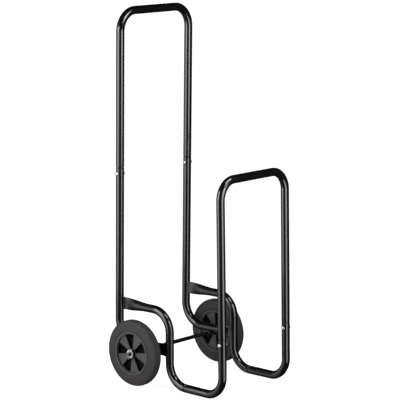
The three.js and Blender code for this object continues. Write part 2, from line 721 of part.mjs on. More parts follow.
for (const [name, side, turn] of [
  ["left", -1, LEFT_WHEEL_TURN],
  ["right", 1, RIGHT_WHEEL_TURN],
]) {
  add(cart, `rear_post_${name}`, rearPost(side), POWDER_COAT);
  add(cart, `side_tube_${name}`, sideTube(side), POWDER_COAT);
  add(cart, `front_foot_${name}`, frontFoot(side), POWDER_COAT);

  for (const [place, spanX, seam, yAt] of [
    ["rear", rearX, REAR_SEAM_HEIGHT, rearY],
    ["front", frontX, FRONT_SEAM_HEIGHT, frontY],
  ]) {
    const z = seam - BOLT_DROP;
    add(cart, `joint_bolt_${place}_${name}`, jointBolt(side * spanX, yAt(z), z), ZINC_PLATE);
    add(cart, `cap_nut_${place}_${name}`, capNut(side * spanX, yAt(z), z), ZINC_PLATE);
  }

  const washer = WASHER_OD / 2;
  const outerWasher = axleRing(side, washer, washerOuterX, washerOuterX + WASHER_THICKNESS);
  const innerWasher = axleRing(side, washer, washerInnerX, washerInnerX + WASHER_THICKNESS);
  add(cart, `outer_washer_${name}`, outerWasher, ZINC_PLATE);
  add(cart, `inner_washer_${name}`, innerWasher, ZINC_PLATE);
  add(cart, `axle_spacer_${name}`, axleRing(side, SPACER_OD / 2, spacerInnerX, spacerOuterX), POWDER_COAT);
  add(cart, `split_pin_${name}`, splitPin(side), ZINC_PLATE);

  const wheel = new THREE.Group();
  wheel.position.set(side * wheelX, -AXLE_REACH, axleHeight);
  add(wheel, `tyre_${name}`, tyre(), TYRE_RUBBER);
  add(wheel, `wheel_hub_${name}`, hub(turn), HUB_PLASTIC);
  cart.add(wheel);
}

// The origin is on the floor, under the middle of the whole cart.
cart.updateMatrixWorld(true);
const box = new THREE.Box3().setFromObject(cart, true);
const root = new THREE.Group();
cart.position.y = -(box.min.y + box.max.y) / 2;
root.add(cart);

export default root;
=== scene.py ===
"""Fireside log cart: fine shapes, finishes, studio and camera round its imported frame.

Metres, +Z up. The front hoop is towards -Y, the wheels' axle runs along X, and the left
side is at -X, as in the frame. Lengths written with MM are millimetres.
"""

import logging
import math
from dataclasses import dataclass, field
from enum import Enum
from typing import Callable, Iterable

import bmesh
import bpy
from mathutils import Matrix, Quaternion, Vector


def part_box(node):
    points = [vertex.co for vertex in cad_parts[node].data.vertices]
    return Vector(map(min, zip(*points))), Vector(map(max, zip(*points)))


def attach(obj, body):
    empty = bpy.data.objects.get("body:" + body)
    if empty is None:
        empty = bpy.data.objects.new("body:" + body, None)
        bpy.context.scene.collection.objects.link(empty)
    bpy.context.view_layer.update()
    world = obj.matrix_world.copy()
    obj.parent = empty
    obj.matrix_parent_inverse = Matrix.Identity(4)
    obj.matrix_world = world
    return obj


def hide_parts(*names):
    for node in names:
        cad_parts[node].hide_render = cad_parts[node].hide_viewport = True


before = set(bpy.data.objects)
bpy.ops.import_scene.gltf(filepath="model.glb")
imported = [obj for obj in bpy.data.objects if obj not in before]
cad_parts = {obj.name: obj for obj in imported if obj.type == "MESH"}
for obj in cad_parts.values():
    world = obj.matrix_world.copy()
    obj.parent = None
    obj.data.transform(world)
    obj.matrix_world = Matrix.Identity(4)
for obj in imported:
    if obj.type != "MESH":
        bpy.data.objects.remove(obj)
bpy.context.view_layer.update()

log = logging.getLogger("log_cart")

MM = 0.001
WHEEL_TURNS = (79.4, 104.3)  # degrees, how far the left and the right wheel have rolled
NEAR = 1e-6
X_AXIS = Vector((1, 0, 0))
Y_AXIS = Vector((0, 1, 0))
Z_AXIS = Vector((0, 0, 1))

Profile = list[tuple[float, float]]
Stops = tuple[tuple[float, float], ...]
Sockets = tuple[tuple[str, float], ...]


class Side(Enum):
    """The cart's two sides, with the sign of their X."""

    LEFT = -1
    RIGHT = 1

    @property
    def label(self) -> str:
        """The side's name, as the frame's nodes have it."""
        return self.name.lower()


class Body(Enum):
    """The frame's moving bodies."""

    FRAME = "frame"
    WHEEL_LEFT = "wheel_left"
    WHEEL_RIGHT = "wheel_right"

    @classmethod
    def wheel(cls, side: Side) -> "Body":
        """The body of one side's wheel."""
        return cls.WHEEL_LEFT if side is Side.LEFT else cls.WHEEL_RIGHT


class Slot(Enum):
    """The record's material slots."""

    POWDER_COAT = "powder_coat"
    ZINC = "zinc_fasteners"
    TYRE = "tyre"
    HUB = "wheel_hub"


# ---- Finishes ---------------------------------------------------------------------


def linear(code: str) -> tuple[float, float, float, float]:
    """Turns an sRGB colour to linear light.

    Args:
        code: Six hex digits.

    Returns:
        Red, green, blue and alpha.
    """
    channels = [int(code[i : i + 2], 16) / 255 for i in (0, 2, 4)]
    lit = [c / 12.92 if c <= 0.04045 else ((c + 0.055) / 1.055) ** 2.4 for c in channels]
    return (*lit, 1.0)


def per_metre(size: float) -> float:
    """A texture's scale in Object coordinates for features of one size in metres."""
    return 1 / size


def empty_tree(owner: bpy.types.ID) -> bpy.types.NodeTree:
    """The node tree of a material, lamp or world, cleared.

    Args:
        owner: The material, lamp or world.

    Returns:
        The empty tree.
    """
    owner.use_nodes = True
    owner.node_tree.nodes.clear()
    return owner.node_tree


def add_node(
    tree: bpy.types.NodeTree, kind: str, inputs: dict | None = None, **settings
) -> bpy.types.Node:
    """Adds a node, with its settings, socket values and links.

    Args:
        tree: The tree it goes in.
        kind: Its Blender type name.
        inputs: Socket names or places, each with a value or with the output it is linked to.
        **settings: The node's own properties.

    Returns:
        The node.
    """
    made = tree.nodes.new(kind)
    for name, value in settings.items():
        setattr(made, name, value)
    for name, value in (inputs or {}).items():
        if isinstance(value, bpy.types.NodeSocket):
            tree.links.new(value, made.inputs[name])
        else:
            made.inputs[name].default_value = value
    return made


def add_ramp(
    tree: bpy.types.NodeTree, value: bpy.types.NodeSocket, stops: Stops
) -> bpy.types.NodeSocket:
    """Adds a ramp of grey levels over a value.

    Args:
        tree: The tree it goes in.
        value: What the level depends on.
        stops: (value, level) pairs in rising order of value.

    Returns:
        The level, as a colour output.
    """
    low, high = stops[0][0], stops[-1][0]
    share = add_node(
        tree, "ShaderNodeMapRange", {"Value": value, "From Min": low, "From Max": high}
    )
    ramp = add_node(tree, "ShaderNodeValToRGB", {"Fac": share.outputs["Result"]})
    elements = ramp.color_ramp.elements
    for i, (at, level) in enumerate(stops):
        place = (at - low) / (high - low)
        stop = elements[i] if i < 2 else elements.new(place)
        stop.position = place
        stop.color = (level, level, level, 1.0)
    ramp.color_ramp.interpolation = "EASE"
    return ramp.outputs["Color"]


def add_clouds(
    tree: bpy.types.NodeTree, size: float, detail: float, shades: tuple[str, str]
) -> tuple[bpy.types.NodeSocket, bpy.types.NodeSocket]:
    """Adds soft patches that wander between two shades.

    Args:
        tree: The tree they go in.
        size: The patches' size in metres.
        detail: Octaves of finer patches in them.
        shades: The two shades, as hex digits.

    Returns:
        The patches' level and their colour, as outputs.
    """
    place = add_node(tree, "ShaderNodeTexCoord").outputs["Object"]
    inputs = {"Vector": place, "Scale": per_metre(size), "Detail": detail}
    level = add_node(tree, "ShaderNodeTexNoise", inputs).outputs["Fac"]
    inputs = {"Factor": level, "A": linear(shades[0]), "B": linear(shades[1])}
    return level, add_node(tree, "ShaderNodeMix", inputs, data_type="RGBA").outputs["Result"]


@dataclass(frozen=True)
class Finish:
    """A surface finish: what every one of the cart's materials starts from.

    Attributes:
        patch: Size of the patches over which shade and gloss wander.
        patch_span: The noise's levels at which the gloss is at its two ends.
        grain: Size of the surface's grain.
        sockets: Values of the shader's own uniform sockets.
    """

    name: str
    slot: Slot
    shade: str
    light_shade: str
    roughness: float
    roughness_spread: float
    patch: float
    grain: float
    grain_height: float
    sockets: Sockets = ()
    patch_span: tuple[float, float] = (0.3, 0.7)

    def material(self) -> bpy.types.Material:
        """The finish as a node material, made once.

        Returns:
            The material.
        """
        made = bpy.data.materials.get(self.name)
        if made is None:
            made = bpy.data.materials.new(self.name)
            self.wire(empty_tree(made))
        return made

    def wire(self, tree: bpy.types.NodeTree) -> None:
        """Lays out the nodes: patches of shade and gloss, and the surface's grain.

        Args:
            tree: The material's empty tree.
        """
        patches, colour = add_clouds(tree, self.patch, 3.0, (self.shade, self.light_shade))
        low, high = self.patch_span
        gloss = add_node(
            tree,
            "ShaderNodeMapRange",
            {
                "Value": patches,
                "From Min": low,
                "From Max": high,
                "To Min": self.roughness - self.roughness_spread,
                "To Max": self.roughness + self.roughness_spread,
            },
        )
        place = add_node(tree, "ShaderNodeTexCoord").outputs["Object"]
        grain = add_node(
            tree,
            "ShaderNodeTexNoise",
            {"Vector": place, "Scale": per_metre(self.grain), "Detail": 2.0},
        ).outputs["Fac"]
        bump = add_node(
            tree,
            "ShaderNodeBump",
            {"Height": grain, "Strength": 1.0, "Distance": self.grain_height},
        )
        shader = add_node(
            tree,
            "ShaderNodeBsdfPrincipled",
            {
                "Base Color": colour,
                "Roughness": gloss.outputs["Result"],
                "Normal": bump.outputs["Normal"],
            },
        )
        for socket, value in self.sockets:
            shader.inputs[socket].default_value = value
        add_node(tree, "ShaderNodeOutputMaterial", {"Surface": shader.outputs["BSDF"]})


@dataclass(frozen=True)
class PowderCoat(Finish):
    """Baked polyester powder on steel tube: deep gloss black under a faint orange peel.

    A second layer of gloss stands for the resin that flows to the top as it bakes.
    """

    name: str = "polyester_powder_coat"
    slot: Slot = Slot.POWDER_COAT
    shade: str = "08080a"
    light_shade: str = "101013"
    roughness: float = 0.2
    roughness_spread: float = 0.03
    patch: float = 45 * MM
    grain: float = 2.4 * MM  # lumps of orange peel
    grain_height: float = 0.005 * MM
    sockets: Sockets = (("IOR", 1.5), ("Coat Weight", 1.0), ("Coat Roughness", 0.12))


@dataclass(frozen=True)
class ZincPlate(Finish):
    """Bright zinc on small steel parts: a pale, slightly hazy metal."""

    name: str = "bright_zinc_plate"
    slot: Slot = Slot.ZINC
    shade: str = "dcdfe2"
    light_shade: str = "f2f3f5"
    roughness: float = 0.38
    roughness_spread: float = 0.06
    patch: float = 3 * MM
    grain: float = 0.5 * MM
    grain_height: float = 0.004 * MM
    sockets: Sockets = (("Metallic", 1.0),)


@dataclass(frozen=True)
class ShadedZinc(ZincPlate):
    """The same plate, dull dark grey: painted shade on the inner washers, which sit down between the
    hub and the frame.
    """

    name: str = "zinc_plate_painted_shade"
    shade: str = "242424"
    light_shade: str = "333231"
    roughness: float = 0.6


@dataclass(frozen=True)
class SolidRubber(Finish):
    """Moulded solid rubber, warm dark grey, with a bloom of fine dust in its grain."""

    name: str = "moulded_solid_rubber"
    slot: Slot = Slot.TYRE
    shade: str = "2f2c2d"
    light_shade: str = "3d393a"
    roughness: float = 0.68
    roughness_spread: float = 0.08
    patch: float = 14 * MM
    grain: float = 0.8 * MM
    grain_height: float = 0.06 * MM


@dataclass(frozen=True)
class MouldedPlastic(Finish):
    """Polypropylene moulding with a spark-eroded texture, satin dark grey."""

    name: str = "moulded_polypropylene"
    slot: Slot = Slot.HUB
    shade: str = "413f42"
    light_shade: str = "4c4a4d"
    roughness: float = 0.5
    roughness_spread: float = 0.05
    patch: float = 20 * MM
    grain: float = 0.9 * MM
    grain_height: float = 0.04 * MM


@dataclass(frozen=True)
class BlackBossAndPocketShade(MouldedPlastic):
    """The same moulding made matt black: on the boss, and down in the blind pockets, where the black
    is painted shade of their depth.
    """

    name: str = "black_polypropylene"
    shade: str = "040404"
    light_shade: str = "080809"
    roughness: float = 0.85
    sockets: Sockets = (("Specular IOR Level", 0.15),)


POWDER_COAT = PowderCoat()
ZINC_PLATE = ZincPlate()
SHADED_ZINC = ShadedZinc()
RUBBER = SolidRubber()
HUB_PLASTIC = MouldedPlastic()
BOSS_BLACK_AND_POCKET_SHADE = BlackBossAndPocketShade()

# ---- Pieces -----------------------------------------------------------------------


def mesh_data(name: str, mesh: bmesh.types.BMesh) -> bpy.types.Mesh:
    """Turns a modelled mesh to mesh data.

    Args:
        name: The data's name.
        mesh: The modelled mesh. It is freed.

    Returns:
        The mesh data.
    """
    data = bpy.data.meshes.new(name)
    mesh.to_mesh(data)
    mesh.free()
    return data


def put(name: str, data: bpy.types.ID) -> bpy.types.Object:
    """Puts mesh data, a lamp or a camera in the scene as an object.

    Args:
        name: The object's name.
        data: What it shows.

    Returns:
        The object.
    """
    made = bpy.data.objects.new(name, data)
    bpy.context.scene.collection.objects.link(made)
    return made


@dataclass
class Piece:
    """One finished piece of the cart, from a mesh being modelled to an object in place."""

    name: str
    body: Body
    finish: Finish
    replaces: tuple[str, ...] = ()
    sharp_angle: float = math.radians(38)
    extra_finishes: tuple[Finish, ...] = ()

    def place(self, mesh: bmesh.types.BMesh) -> bpy.types.Object:
        """Makes the object, dresses it, and ties it to its body and its frame nodes.

        Args:
            mesh: The modelled mesh, in the frame's own coordinates. It is freed.

        Returns:
            The object.
        """
        data = mesh_data(self.name, mesh)
        data.shade_smooth()
        data.set_sharp_from_angle(angle=self.sharp_angle)
        for finish in (self.finish, *self.extra_finishes):
            data.materials.append(finish.material())
        made = put(self.name, data)
        made.modifiers.new("even_shading", "WEIGHTED_NORMAL").keep_sharp = True
        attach(made, self.body.value)
        if self.replaces:
            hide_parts(*self.replaces)
        log.info("%s: %d faces on %s", self.name, len(data.polygons), self.body.value)
        return made


def close_up(mesh: bmesh.types.BMesh) -> None:
    """Merges doubles, so that seams and poles are closed, and turns the faces outwards.

    Args:
        mesh: The mesh.
    """
    bmesh.ops.remove_doubles(mesh, verts=mesh.verts, dist=NEAR)
    bmesh.ops.recalc_face_normals(mesh, faces=mesh.faces)
    if mesh.calc_volume(signed=True) < 0:
        bmesh.ops.reverse_faces(mesh, faces=mesh.faces)


def verts_in(geometry: Iterable) -> list[bmesh.types.BMVert]:
    """The points among what an operator made."""
    return [g for g in geometry if isinstance(g, bmesh.types.BMVert)]


def rims(mesh: bmesh.types.BMesh) -> list[bmesh.types.BMEdge]:
    """The edges round a mesh's openings."""
    return [e for e in mesh.edges if e.is_boundary]


def round_edges(
    mesh: bmesh.types.BMesh, radius: float, angle: float = math.radians(40), segments: int = 2
) -> None:
    """Rounds every edge that turns by more than an angle.

    Args:
        mesh: The mesh.
        radius: How far in from the edge the rounding starts.
        angle: The least turn that counts as an edge.
        segments: Faces across the rounding.
    """
    sharp = [e for e in mesh.edges if len(e.link_faces) == 2 and e.calc_face_angle() > angle]
    bmesh.ops.bevel(
        mesh,
        geom=sharp,
        offset=radius,
        segments=segments,
        profile=0.5,
        affect="EDGES",
        material=-1,
        clamp_overlap=True,
    )


def turned(profile: Profile, steps: int, closed: bool = False) -> bmesh.types.BMesh:
    """A body turned about X.

    Args:
        profile: (x, radius) points along its outline.
        steps: Faces round it.
        closed: True if the profile is a loop that stays off the axis.

    Returns:
        The closed mesh.
    """
    mesh = bmesh.new()
    points = [mesh.verts.new((x, 0, radius)) for x, radius in profile]
    pairs = list(zip(points, points[1:]))
    if closed:
        pairs.append((points[-1], points[0]))
    edges = [mesh.edges.new(pair) for pair in pairs]
    bmesh.ops.spin(
        mesh,
        geom=points + edges,
        cent=(0, 0, 0),
        axis=X_AXIS,
        angle=2 * math.pi,
        steps=steps,
        use_merge=True,
    )
    close_up(mesh)
    return mesh


def arc(centre: tuple[float, float], radius: float, start: float, end: float, steps: int) -> Profile:
    """Profile points round an arc.

    Args:
        centre: Its centre as (x, radius).
        radius: The arc's own radius.
        start: Angle of its first point in degrees, from +X towards outwards.
        end: Angle of its last point.
        steps: Stretches between points.

    Returns:
        The points.
    """
    angles = [math.radians(start + (end - start) * i / steps) for i in range(steps + 1)]
    return [(centre[0] + radius * math.cos(a), centre[1] + radius * math.sin(a)) for a in angles]


def quarter_turn(steps: int) -> list[float]:
    """The angles round a quarter turn, in radians."""
    return [math.pi / 2 * i / steps for i in range(steps + 1)]


def move(mesh: bmesh.types.BMesh, offset: Iterable[float]) -> None:
    """Moves a whole mesh."""
    bmesh.ops.translate(mesh, verts=mesh.verts, vec=Vector(offset))


def turn(mesh: bmesh.types.BMesh, angle: float, axis: Vector, centre: Iterable[float]) -> None:
    """Turns a whole mesh about an axis through a point."""
    spin = Matrix.Rotation(angle, 3, axis)
    bmesh.ops.rotate(mesh, verts=mesh.verts, cent=Vector(centre), matrix=spin)


# ---- Bent tube --------------------------------------------------------------------


class TubeShaper:
    """Draws a tube ring by ring from its start, as a bender feeds it.

    Attributes:
        mesh: The tube's outer wall so far.
        point: Middle of the last ring.
        heading: The way the tube goes on.
    """

    def __init__(self, start: Vector, heading: Vector, radius: float, sides: int) -> None:
        """Sets the first ring, square to the heading.

        Args:
            start: The ring's middle.
            heading: The way the tube sets off.
            radius: The outer wall's radius.
            sides: Faces round the tube.
        """
        self.mesh = bmesh.new()
        self.point = start.copy()
        self.heading = heading.normalized()
        square = Z_AXIS.rotation_difference(self.heading).to_matrix().to_4x4()
        made = bmesh.ops.create_circle(
            self.mesh,
            cap_ends=False,
            segments=sides,
            radius=radius,
            matrix=Matrix.Translation(start) @ square,
        )
        self.verts = list(made["verts"])
        self.edges = list({e for v in self.verts for e in v.link_edges})

    def _take(self, geometry: Iterable) -> None:
        """Keeps the newest ring of what an operator made.

        Args:
            geometry: The ring's points and edges, and any faces that came with them.
        """
        items = list(geometry)
        self.verts = verts_in(items)
        ring = set(self.verts)
        edges = [g for g in items if isinstance(g, bmesh.types.BMEdge)]
        self.edges = [e for e in edges if all(v in ring for v in e.verts)]

    def straight(self, length: float, rings: int = 1) -> None:
        """Goes straight on.

        Args:
            length: How far.
            rings: How many rings that takes.
        """
        for _ in range(rings):
            made = bmesh.ops.extrude_edge_only(self.mesh, edges=self.edges)
            self._take(made["geom"])
            step = self.heading * (length / rings)
            bmesh.ops.translate(self.mesh, verts=self.verts, vec=step)
            self.point += step

    def bend(self, toward: Vector, angle: float, radius: float, steps: int) -> None:
        """Bends.

        Args:
            toward: A direction on the inside of the bend.
            angle: How far it turns.
            radius: The centreline's radius.
            steps: Rings round the bend.
        """
        across = self.heading.cross(toward).normalized()
        centre = self.point + across.cross(self.heading) * radius
        made = bmesh.ops.spin(
            self.mesh,
            geom=self.verts + self.edges,
            cent=centre,
            axis=across,
            angle=angle,
            steps=steps,
            use_merge=False,
            use_duplicate=False,
        )
        self._take(made["geom_last"])
        spin = Quaternion(across, angle)
        self.point = centre + spin @ (self.point - centre)
        self.heading = spin @ self.heading


@dataclass
class BentTube:
    """One bent tube of the frame: its run of corners, and how each end is formed."""

    corners: list[Vector]
    bends: list[float]
    radius: float
    wall: float
    sides: int = 56
    bend_step: float = math.radians(4)
    least_bend_steps: int = 6
    lip: float = 0.3 * MM
    lip_turn: float = math.radians(60)

    def shape(self, start_cuts: list[float], end_cuts: list[float]) -> bmesh.types.BMesh:
        """Draws the outer wall along the run.

        Args:
            start_cuts: Distances from the start at which it needs a ring.
            end_cuts: Distances from the end at which it needs a ring.

        Returns:
            The open outer wall.
        """
        first = (self.corners[1] - self.corners[0]).normalized()
        shaper = TubeShaper(self.corners[0], first, self.radius, self.sides)
        for i, corner in enumerate(self.corners[1:], 1):
            leg = corner - shaper.point
            last = i == len(self.corners) - 1
            if last:
                setback = 0.0
            else:
                after = (self.corners[i + 1] - corner).normalized()
                angle = shaper.heading.angle(after)
                setback = self.bends[i - 1] * math.tan(angle / 2)
            length = leg.dot(shaper.heading) - setback
            cuts = sorted(start_cuts) if i == 1 else []
            if last:
                cuts += sorted(length - c for c in end_cuts)
            done = 0.0
            for cut in cuts:
                shaper.straight(cut - done)
                done = cut
            shaper.straight(length - done)
            if not last:
                steps = max(self.least_bend_steps, round(angle / self.bend_step))
                shaper.bend(after, angle, self.bends[i - 1], steps)
        return shaper.mesh

    def form_end(
        self,
        mesh: bmesh.types.BMesh,
        at_start: bool,
        reach: float,
        form: Callable[[float], tuple[float, float, float]],
    ) -> None:
        """Reshapes a straight end by moving its rings' points.

        Args:
            mesh: The outer wall.
            at_start: Which end.
            reach: How far from the end the forming goes.
            form: From the distance to the end, the loss of radius, the flats' half length, and
                how oval the section is, from 0 with true flats to 1. The flats are square to X.
        """
        end = self.corners[0 if at_start else -1]
        beside = self.corners[1 if at_start else -2]
        inward = (beside - end).normalized()
        upright = X_AXIS.cross(inward).normalized()
        for vert in mesh.verts:
            offset = vert.co - end
            distance = offset.dot(inward)
            side, rise = offset.dot(X_AXIS), offset.dot(upright)
            if distance > reach + NEAR or math.hypot(side, rise) > self.radius + NEAR:
                continue
            loss, flat, oval = form(max(0.0, distance))
            share = (self.radius - loss) / self.radius
            height = min(1.0, abs(rise) / self.radius)
            lift = 0.0 if abs(rise) < NEAR else math.copysign(flat * height**oval, rise)
            vert.co = end + inward * distance + X_AXIS * side * share
            vert.co += upright * (rise * share + lift)

    def give_wall(self, mesh: bmesh.types.BMesh) -> bmesh.types.BMesh:
        """Turns the outer wall into a tube with a wall and rounded lips.

        Args:
            mesh: The open outer wall.

        Returns:
            The same mesh, closed.
        """
        bmesh.ops.recalc_face_normals(mesh, faces=mesh.faces)
        bmesh.ops.solidify(mesh, geom=mesh.faces[:], thickness=self.wall)
        bmesh.ops.recalc_face_normals(mesh, faces=mesh.faces)
        round_edges(mesh, self.lip, angle=self.lip_turn)
        return mesh


# ---- Tube frame -------------------------------------------------------------------


@dataclass
class TubeFrame:
    """The welded and bolted frame, without its fasteners. Sizes in metres."""

    wall: float = 1.2 * MM
    spigot_play: float = 0.25 * MM
    spigot_length: float = 35 * MM
    seam_groove: float = 1.1 * MM  # spigot left bare above a joint
    swage_neck: float = 2.4 * MM
    swage_rings: int = 5
    rear_lean: float = 0.013
    front_lean: float = 0.018
    rear_seam: float = 643.5 * MM
    front_seam: float = 184.5 * MM
    foot_seam_reach: float = 274 * MM
    riser_reach: float = 205.7 * MM
    front_reach: float = 416 * MM
    axle_reach: float = 102 * MM
    rail_height: float = 231.8 * MM
    post_run_height: float = 116.5 * MM
    handle_bend: float = 61 * MM
    front_bend: float = 58 * MM
    rail_bend: float = 63.5 * MM
    riser_bend: float = 64.7 * MM
    foot_bend: float = 59.7 * MM
    post_bend: float = 68 * MM
    pressed_half: float = 1.5 * MM
    pressed_length: float = 21 * MM
    rail_taper: float = 82 * MM
    post_taper: float = 52 * MM
    pressed_bite: float = 2.5 * MM  # how far a pressed end goes into its weld
    taper_rings: int = 24
    crease: float = 10 * MM  # from a pressed end to where it starts to thicken again
    thick_share: float = 0.7  # part of a taper's length over which it gets its thickness back
    oval_share: float = 0.35  # part of that over which its flats round off
    weld_radius: float = 1.9 * MM
    weld_spread: float = 2.5  # how much wider along Y a pressed end's bead is than thick
    weld_sink: float = 0.3  # share of the bead's own radius by which its middle is sunk
    weld_ripple: float = 1.5 * MM  # spacing of the ripples along a bead
    weld_ripple_share: float = 0.12  # their depth over the bead's radius
    weld_sides: int = 14
    weld_turn_steps: int = 6
    axle_radius: float = 6 * MM
    axle_bead: float = 2.6 * MM
    axle_bead_inset: float = 3.4 * MM
    axle_ripples: int = 14
    axle_ripple_steps: int = 4
    axle_ripple_depth: float = 0.3 * MM
    radius: float = field(init=False)
    rear_x: float = field(init=False)
    front_x: float = field(init=False)
    foot_line: float = field(init=False)
    axle: Vector = field(init=False)

    def __post_init__(self) -> None:
        """Takes from the frame what the frame says."""
        low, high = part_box("front_foot_right")
        self.radius = (high.x - low.x) / 2
        self.front_x = (high.x + low.x) / 2
        low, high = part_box("rear_post_right")
        self.rear_x = (high.x + low.x) / 2
        low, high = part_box("axle_rod")
        self.axle = (low + high) / 2
        self.foot_line = self.axle.y + self.axle_reach

    def rear_y(self, height: float) -> float:
        """The rear posts' centreline at a height."""
        return self.foot_line - self.rear_lean * height

    def front_y(self, height: float) -> float:
        """The front uprights' centreline at a height."""
        return self.foot_line - self.front_reach + self.front_lean * height

    def tube(self, corners: list[Vector], bends: list[float]) -> BentTube:
        """A tube of the frame's stock along a run."""
        return BentTube(corners, bends, self.radius, self.wall)

    @property
    def pressed_flat(self) -> float:
        """Half the flats of a pressed end: pressing keeps the tube's girth."""
        return math.pi / 2 * (self.radius - self.pressed_half)

    def _swage(self, tube: BentTube, mesh: bmesh.types.BMesh, at_start: bool) -> None:
        """Narrows an end to its spigot, easing back to full size over the neck.

        Args:
            tube: The tube.
            mesh: Its outer wall.
            at_start: Which end.
        """
        loss = self.wall + self.spigot_play
        bare = self.spigot_length + self.seam_groove

        def form(distance: float) -> tuple[float, float, float]:
            """The section at a distance from the end, as form_end asks for it."""
            share = min(1.0, max(0.0, (distance - bare) / self.swage_neck))
            return loss * (1 + math.cos(math.pi * share)) / 2, 0.0, 0.0

        tube.form_end(mesh, at_start, bare + self.swage_neck, form)

    def _press(self, tube: BentTube, mesh: bmesh.types.BMesh, at_start: bool, taper: float) -> None:
        """Presses an end flat, easing to round over the taper.

        Args:
            tube: The tube.
            mesh: Its outer wall.
            at_start: Which end.
            taper: How long the taper is.
        """

        def ease(share: float) -> float:
            """Falls from 1 to 0 as the share runs from 0 to 1."""
            share = min(1.0, max(0.0, share))
            return 1 - share * share * (3 - 2 * share)

        def form(distance: float) -> tuple[float, float, float]:
            """The pressed section at one place.

            Args:
                distance: How far that is from the end.

            Returns:
                The loss of radius, the flats' half length and how oval it is.
            """
            thick = (distance - self.crease) / (self.thick_share * taper)
            loss = ease(thick) * (self.radius - self.pressed_half)
            spread = ease((distance - self.pressed_length) / taper)
            spread *= self.pressed_half + self.pressed_flat - self.radius
            return loss, spread + loss, 1 - ease(thick / self.oval_share)

        tube.form_end(mesh, at_start, self.pressed_length + taper, form)

    def _taper_cuts(self, taper: float) -> list[float]:
        """Rings along a pressed end's taper."""
        length = self.pressed_length + taper - self.crease
        return [self.crease + length * i / self.taper_rings for i in range(self.taper_rings + 1)]

    def _spigot_cuts(self) -> list[float]:
        """Rings along a swaged end, closer where the swage rounds over.

        Returns:
            The rings' distances from the end.
        """
        shares = [i / self.swage_rings for i in range(self.swage_rings + 1)]
        bare = self.spigot_length + self.seam_groove
        return [self.spigot_length, *(bare + self.swage_neck * share for share in shares)]

    def hoop(self, name: str, half_span: float, seam: float, bend: float, y_at: Callable) -> None:
        """A hoop on two spigots.

        Args:
            name: The frame node it stands for.
            half_span: From the middle to each leg's centreline.
            seam: Height at which the legs enter the tubes below.
            bend: The bends' radius.
            y_at: The centreline's Y at a height.
        """
        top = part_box(name)[1].z - self.radius
        foot = seam - self.spigot_length
        corners = [
            Vector((x, y_at(z), z))
            for x, z in ((-half_span, foot), (-half_span, top), (half_span, top), (half_span, foot))
        ]
        tube = self.tube(corners, [bend, bend])
        mesh = tube.shape(self._spigot_cuts(), self._spigot_cuts())
        self._swage(tube, mesh, True)
        self._swage(tube, mesh, False)
        Piece(name, Body.FRAME, POWDER_COAT, (name,)).place(tube.give_wall(mesh))

    def rear_post(self, side: Side) -> None:
        """A rear post with its lower run, pressed at the riser.

        Args:
            side: Which side of the cart.
        """
        x = side.value * self.rear_x
        end = self.foot_line - self.riser_reach + self.radius - self.pressed_bite
        corners = [
            Vector((x, self.rear_y(self.rear_seam), self.rear_seam)),
            Vector((x, self.rear_y(self.post_run_height), self.post_run_height)),
            Vector((x, end, self.post_run_height)),
        ]
        tube = self.tube(corners, [self.post_bend])
        mesh = tube.shape([], self._taper_cuts(self.post_taper))
        self._press(tube, mesh, False, self.post_taper)
        name = f"rear_post_{side.label}"
        Piece(name, Body.FRAME, POWDER_COAT, (name,)).place(tube.give_wall(mesh))
        self.pressed_weld(f"riser_weld_{side.label}", corners[-1], self.pressed_bite)

    def side_tube(self, side: Side) -> None:
        """A side tube: rail, riser and floor run, pressed at the rear post.

        Args:
            side: Which side of the cart.
        """
        x = side.value * self.front_x
        start = self.rear_y(self.rail_height) - self.radius + self.pressed_bite
        riser = self.foot_line - self.riser_reach
        end = self.foot_line - self.foot_seam_reach - self.spigot_length
        corners = [
            Vector((x, start, self.rail_height)),
            Vector((x, riser, self.rail_height)),
            Vector((x, riser, self.radius)),
            Vector((x, end, self.radius)),
        ]
        tube = self.tube(corners, [self.rail_bend, self.riser_bend])
        mesh = tube.shape(self._taper_cuts(self.rail_taper), self._spigot_cuts())
        self._press(tube, mesh, True, self.rail_taper)
        self._swage(tube, mesh, False)
        name = f"side_tube_{side.label}"
        Piece(name, Body.FRAME, POWDER_COAT, (name,)).place(tube.give_wall(mesh))
        self.pressed_weld(f"rail_weld_{side.label}", corners[0], -self.pressed_bite)

    def front_foot(self, side: Side) -> None:
        """A front foot, from its mouth on the floor up to its socket.

        Args:
            side: Which side of the cart.
        """
        x = side.value * self.front_x
        corners = [
            Vector((x, self.foot_line - self.foot_seam_reach, self.radius)),
            Vector((x, self.front_y(self.radius), self.radius)),
            Vector((x, self.front_y(self.front_seam), self.front_seam)),
        ]
        tube = self.tube(corners, [self.foot_bend])
        name = f"front_foot_{side.label}"
        Piece(name, Body.FRAME, POWDER_COAT, (name,)).place(tube.give_wall(tube.shape([], [])))

    def pressed_weld(self, name: str, end: Vector, bite: float) -> None:
        """A rippled bead of weld all round a pressed end.

        Args:
            name: The bead's name.
            end: Middle of the pressed end.
            bite: How far the bead's middle lies along Y from that end.
        """
        round_radius = self.pressed_half - self.weld_radius * self.weld_sink
        flat = 2 * self.pressed_flat
        start = end + Vector((-round_radius, bite, -flat / 2))
        shaper = TubeShaper(start, Z_AXIS, self.weld_radius, self.weld_sides)
        rings = round(flat / self.weld_ripple)
        for toward in (X_AXIS, -X_AXIS):
            shaper.straight(flat, rings)
            shaper.bend(toward, math.pi, round_radius, self.weld_turn_steps)
        close_up(shaper.mesh)
        ripple = 2 * math.pi / (2 * self.weld_ripple)
        for vert in shaper.mesh.verts:
            height = vert.co.z - start.z
            depth = self.weld_ripple_share * self.weld_radius
            vert.co -= vert.normal * (depth * (1 + math.cos(ripple * height)) / 2)
        bmesh.ops.scale(
            shaper.mesh,
            verts=shaper.mesh.verts,
            vec=(1.0, self.weld_spread, 1.0),
            space=Matrix.Translation(-start),
        )
        Piece(name, Body.FRAME, POWDER_COAT).place(shaper.mesh)

